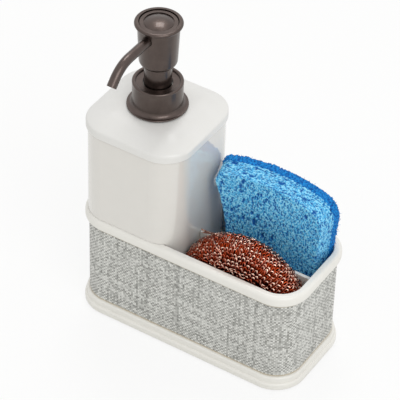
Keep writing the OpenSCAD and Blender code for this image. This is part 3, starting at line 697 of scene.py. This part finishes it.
# Ends of wire that have come loose: width of the strand, and its way as an angle round the pad,
# a distance from the pad's axis and a depth from its middle, lengths in mm
LOOSE_ENDS = (
    (0.7, ((121, 44.4, -1), (115, 43.7, -5.8), (111, 42, -9), (104, 39.5, -11.6), (105, 37, -12.9),
           (111, 35.2, -13.4), (114, 33, -13.6), (114, 29, -13.4))),
    (1.2, ((142, 47.6, 10), (139, 45.2, 9.5), (133, 44.2, 7.5), (126, 44.5, 4), (119, 45, 1.5))),
    (0.9, ((141, 45.8, 8.5), (136, 44, 7.6), (130, 43.6, 5.6), (122, 44.4, 2.6), (113, 44.9, 0.6))),
)


def knitted_copper():
    made = material("copper, rolled flat and knitted")
    shade = add(made, "Attribute", attribute_name="root_shade").outputs["Fac"]
    glint_share = add(made, "Attribute", attribute_name="painted_glint").outputs["Fac"]
    # Loops are painted darker towards their roots as shade, with a random spread of tone.
    tone = add(made, "Mix", {0: shade, 6: linear(COPPER), 7: linear(COPPER_ROOT_SHADE)}, data_type="RGBA")
    # Crowns of some loops, and spots along the loose wires, get a near-white colour as a painted highlight.
    bright = add(made, "Mix", {0: glint_share, 6: tone.outputs[2], 7: linear(COPPER_GLINT)}, data_type="RGBA")
    return close(made, Base_Color=bright.outputs[2], Metallic=1.0, Roughness=0.16)


# A near-black copper colour, painted on a core that stands in for the shade inside the pad.
def copper_shade_core():
    made = material("copper, tangled inside")
    place = add(made, "TexCoord").outputs["Object"]
    tangle = add(made, "TexVoronoi", {"Vector": place, "Scale": 1 / (CORE_TANGLE_MM * MM)})
    tone = add(made, "Mix", {0: tangle.outputs["Distance"], 6: linear(COPPER_GAP_SHADE), 7: linear(COPPER_DEEP_SHADE)},
               data_type="RGBA")
    bump = add(made, "Bump", {"Height": tangle.outputs["Distance"], "Distance": CORE_BUMP})
    return close(made, Base_Color=tone.outputs[2], Metallic=1.0, Roughness=0.4, Normal=bump.outputs[0])


def pad_profile(reach, half, edge, count):
    """Half section of the rounded pad: distance from its axis, depth, and the outward direction."""
    flat = reach - edge
    quarter = math.pi / 2 * edge
    level = 2 * (half - edge)
    total = 2 * flat + 2 * quarter + level
    rows = []
    for i in range(count):
        s = total * (i + 0.5) / count
        if s < flat:
            rows.append((s, -half, 0, -1))
        elif s < flat + quarter:
            a = (s - flat) / edge
            rows.append((flat + edge * math.sin(a), -half + edge * (1 - math.cos(a)), math.sin(a),
                         -math.cos(a)))
        elif s < flat + quarter + level:
            rows.append((reach, -half + edge + s - flat - quarter, 1, 0))
        elif s < total - flat:
            a = (s - flat - quarter - level) / edge
            rows.append((flat + edge * math.cos(a), half - edge * (1 - math.sin(a)), math.cos(a),
                         math.sin(a)))
        else:
            rows.append((total - s, half, 0, 1))
    return rows, total


def held_in(points):
    """Presses points back inside the bay's walls and clear of the bottle."""
    low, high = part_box("copper_scrubber")
    left, right, side = (gap * MM for gap in BAY_GAPS_MM)
    pressed = np.array(points)
    pressed[:, 0] = np.clip(pressed[:, 0], low.x + left, high.x - right)
    pressed[:, 1] = np.clip(pressed[:, 1], low.y + side, high.y - side)
    corner = np.array((high.x - BAY_CORNER_MM * MM, low.y + BAY_CORNER_MM * MM))
    room = (BAY_CORNER_MM - BAY_CORNER_GAP_MM) * MM
    away = pressed[:, :2] - corner
    far = np.linalg.norm(away, axis=1)
    out = (away[:, 0] > 0) & (away[:, 1] < 0) & (far > room)
    pressed[out, :2] = corner + away[out] * (room / far[out])[:, None]
    return pressed


def loose_wires(middle, finish, chance):
    """Lays the loose ends over the pad as round strands, each bend of them smoothed."""
    for number, (width, route) in enumerate(LOOSE_ENDS):
        along = np.array([(middle.x + out * MM * math.cos(math.radians(angle)), middle.y + depth * MM,
                           middle.z + out * MM * math.sin(math.radians(angle)))
                          for angle, out, depth in route])
        given = np.linspace(0, 1, len(route))
        wanted = np.linspace(0, 1, STRAND_STEPS * len(route))
        strand = np.stack([np.interp(wanted, given, along[:, axis]) for axis in range(3)], axis=1)
        for _ in range(STRAND_SMOOTHING):
            strand[1:-1] = (strand[:-2] + 2 * strand[1:-1] + strand[2:]) / 4
        points, faces = tube_rings(strand, width / 2 * MM, WIRE_SIDES, 0)
        wire = piece(f"loose_wire_{number + 1}", points, faces, finish, "scrubber")
        # Random spots along each strand get the painted highlight colour.
        paint_points(wire, "painted_glint", np.repeat(chance.random(len(strand)) ** STRAND_DULLNESS, WIRE_SIDES))


def knit_scrubber():
    low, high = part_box("copper_scrubber")
    middle = (low + high) / 2
    half = middle.y - low.y - LOOP_ROOM_MM * MM
    reach = middle.z - low.z - LOOP_ROOM_MM * MM
    edge = PAD_EDGE_SHARE * half
    chance = np.random.default_rng(SCRUBBER_SEED)
    length = pad_profile(reach, half, edge, 1)[1]
    rows = pad_profile(reach, half, edge, round(length / (ROW_MM * MM)))[0]
    all_points, all_faces, root_shade, painted_glint = [], [], [], []
    count = 0
    for row, (radius, depth, out_r, out_y) in enumerate(rows):
        loops = max(5, round(2 * math.pi * radius / (LOOP_MM * MM)))
        steps = loops * LOOP_STEPS
        t = np.arange(steps) / LOOP_STEPS
        each = np.repeat(np.arange(loops), LOOP_STEPS)
        size = chance.normal(1, LOOP_SIZE_SPREAD, loops)[each]
        side_shift = chance.normal(0, LOOP_SHIFT_MM, loops)[each] * MM
        raised = chance.normal(0, LOOP_RAISE_MM, loops)[each] * MM
        phase = 2 * math.pi * t
        around = 2 * math.pi * (t + LOOP_NECK_SHARE * np.sin(2 * phase) + row % 2 / 2) / loops
        across = size * LOOP_REACH_SHARE * ROW_MM * MM * np.cos(phase) + side_shift
        above = LOOP_RISE_MM * MM * np.cos(phase) + raised
        ring = radius + across * -out_y + above * out_r
        y = depth + across * out_r + above * out_y
        centre = np.stack([middle.x + ring * np.cos(around), middle.y + y, middle.z + ring * np.sin(around)],
                          axis=1)
        normal = np.stack([out_r * np.cos(around), np.full(steps, out_y), out_r * np.sin(around)], axis=1)
        ahead = np.roll(centre, -1, 0) - np.roll(centre, 1, 0)
        ahead /= np.linalg.norm(ahead, axis=1)[:, None] + 1e-12
        aside = np.cross(ahead, normal)
        aside /= np.linalg.norm(aside, axis=1)[:, None] + 1e-12
        twist = LOOP_TWIST * np.sin(phase) + chance.normal(0, LOOP_TWIST, loops)[each]
        flat = np.cos(twist)[:, None] * aside + np.sin(twist)[:, None] * normal
        thick = np.cross(ahead, flat)
        turns = 2 * math.pi * np.arange(WIRE_SIDES) / WIRE_SIDES
        wide = WIRE_WIDE_MM * MM / 2 * np.cos(turns)[None, :, None]
        thin = WIRE_THICK_MM * MM / 2 * np.sin(turns)[None, :, None]
        rim = centre[:, None] + wide * flat[:, None] + thin * thick[:, None]
        all_points.append(held_in(rim.reshape(-1, 3)))
        # Painted shade: darker towards each loop's root, spread at random.
        root_shading = np.clip(chance.normal(0.5 - 0.5 * np.cos(phase), ROOT_SHADE_SPREAD), 0, 1)
        # The crown mask puts the painted highlight colour on the crowns of a random few loops.
        crown = np.clip(np.cos(phase), 0, 1) ** CROWN_SHARPNESS
        shine = np.clip(CROWN_SHINE * chance.random(loops)[each] ** SHINE_RARITY * crown, 0, 1)
        root_shade.append(np.repeat(root_shading, WIRE_SIDES))
        painted_glint.append(np.repeat(shine, WIRE_SIDES))
        for i in range(steps):
            a, b = count + WIRE_SIDES * i, count + WIRE_SIDES * ((i + 1) % steps)
            for j in range(WIRE_SIDES):
                k = (j + 1) % WIRE_SIDES
                all_faces.append((a + j, a + k, b + k, b + j))
        count += WIRE_SIDES * steps
    pad = piece("copper_loops", np.concatenate(all_points), all_faces, knitted_copper(),
                "scrubber")
    paint_points(pad, "root_shade", np.concatenate(root_shade))
    paint_points(pad, "painted_glint", np.concatenate(painted_glint))
    # A dark copy of the pad's shape, set in under the loops, stands for the shade inside the pad.
    core_points, core_normals, core_faces = refined("copper_scrubber", CORE_VOXEL)
    core_points = core_points - core_normals * CORE_INSET
    core = piece("copper_shade_core", core_points, core_faces, copper_shade_core(), "scrubber")
    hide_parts("copper_scrubber")
    loose_wires(middle, pad.data.materials[0], chance)


knit_scrubber()
